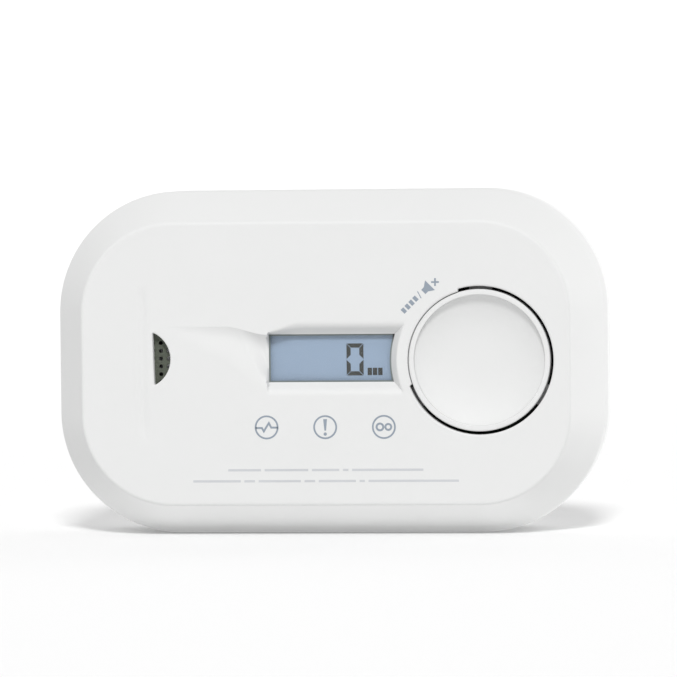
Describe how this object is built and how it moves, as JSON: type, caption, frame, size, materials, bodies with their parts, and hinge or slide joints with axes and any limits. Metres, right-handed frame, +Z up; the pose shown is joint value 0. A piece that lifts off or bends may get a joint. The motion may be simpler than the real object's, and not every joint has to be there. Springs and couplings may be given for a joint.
{
  "type": "carbon monoxide detector",
  "caption": "White rounded carbon monoxide alarm with a digital display in a scooped pocket, a large round dished test button in a C-shaped sound slot, and keyholes at the back.",
  "frame": {"origin": "middle of the underside of the casing's bounding box, on the surface it stands on", "axes": "+X to the right as seen by a person facing the display, +Y from the face towards the wall side, +Z up"},
  "size_m": [0.12, 0.032, 0.075],
  "materials": {
    "white_cover": "satin moulded, fine texture",
    "white_rear": "fine spark texture",
    "white_button": "satin moulded",
    "clear_window": "polished clear",
    "black_tape": "matt",
    "lcd_glass": "reflective polariser",
    "lcd_ink": "dark segments",
    "black_frame": "moulded",
    "contact_rubber": "matt",
    "board_green": "solder mask",
    "switch_black": "moulded",
    "plunger_grey": "moulded",
    "lamp_resin": "cast resin",
    "clear_guide": "polished clear",
    "chip_black": "moulded epoxy",
    "capacitor_sleeve": "shrink sleeve",
    "coil_copper": "enamelled wire",
    "cell_sleeve": "printed sleeve",
    "nickel": "rolled strip",
    "grey_foam": "open-cell foam",
    "sensor_can": "drawn can",
    "filter_black": "moulded",
    "gold_pin": "gold plated",
    "dark_mesh": "woven",
    "chamber_black": "moulded",
    "disc_brass": "rolled",
    "ceramic_white": "silvered",
    "slider_red": "moulded",
    "screw_steel": "zinc plated",
    "label_paper": "satin film",
    "print_ink": "pad print"
  },
  "bodies": {
    "casing": {"front_cover": "white_cover", "rear_cover": "white_rear", "display_window": "clear_window", "window_tape": "black_tape", "lcd_panel": "lcd_glass", "lcd_holder": "black_frame", "lcd_contact_strips": "contact_rubber", "display_board": "board_green", "tact_switch_body": "switch_black", "status_leds": "lamp_resin", "light_guides": "clear_guide", "main_board": "board_green", "board_header": "switch_black", "microcontroller": "chip_black", "capacitors": "capacitor_sleeve", "inductor": "coil_copper", "battery": "cell_sleeve", "battery_tabs": "nickel", "battery_pad": "grey_foam", "co_sensor": "sensor_can", "sensor_filter_cap": "filter_black", "sensor_pins": "gold_pin", "sensor_gasket": "grey_foam", "dust_screen": "dark_mesh", "sounder_chamber": "chamber_black", "piezo_disc": "disc_brass", "piezo_ceramic": "ceramic_white", "activation_switch_body": "switch_black", "housing_screws": "screw_steel", "board_screws": "screw_steel", "display_screws": "screw_steel", "rear_label": "label_paper"},
    "button": {"test_button": "white_button"},
    "plunger": {"switch_plunger": "plunger_grey"},
    "slider": {"activation_slider": "slider_red"}
  },
  "joints": [
    {"name": "button_press", "type": "slide", "parent": "casing", "child": "button", "axis": [0, 1, 0], "range_m": [0, 0.0008], "stiffness_N_per_m": 1500, "springref_m": -0.0004},
    {"name": "plunger_press", "type": "slide", "parent": "casing", "child": "plunger", "axis": [0, 1, 0], "range_m": [0, 0.0008]},
    {"name": "activation_slide", "type": "slide", "parent": "casing", "child": "slider", "axis": [1, 0, 0], "range_m": [0, 0.004]}
  ],
  "couplings": [
    {"joint": "plunger_press", "follows": "button_press", "ratio": 1}
  ]
}
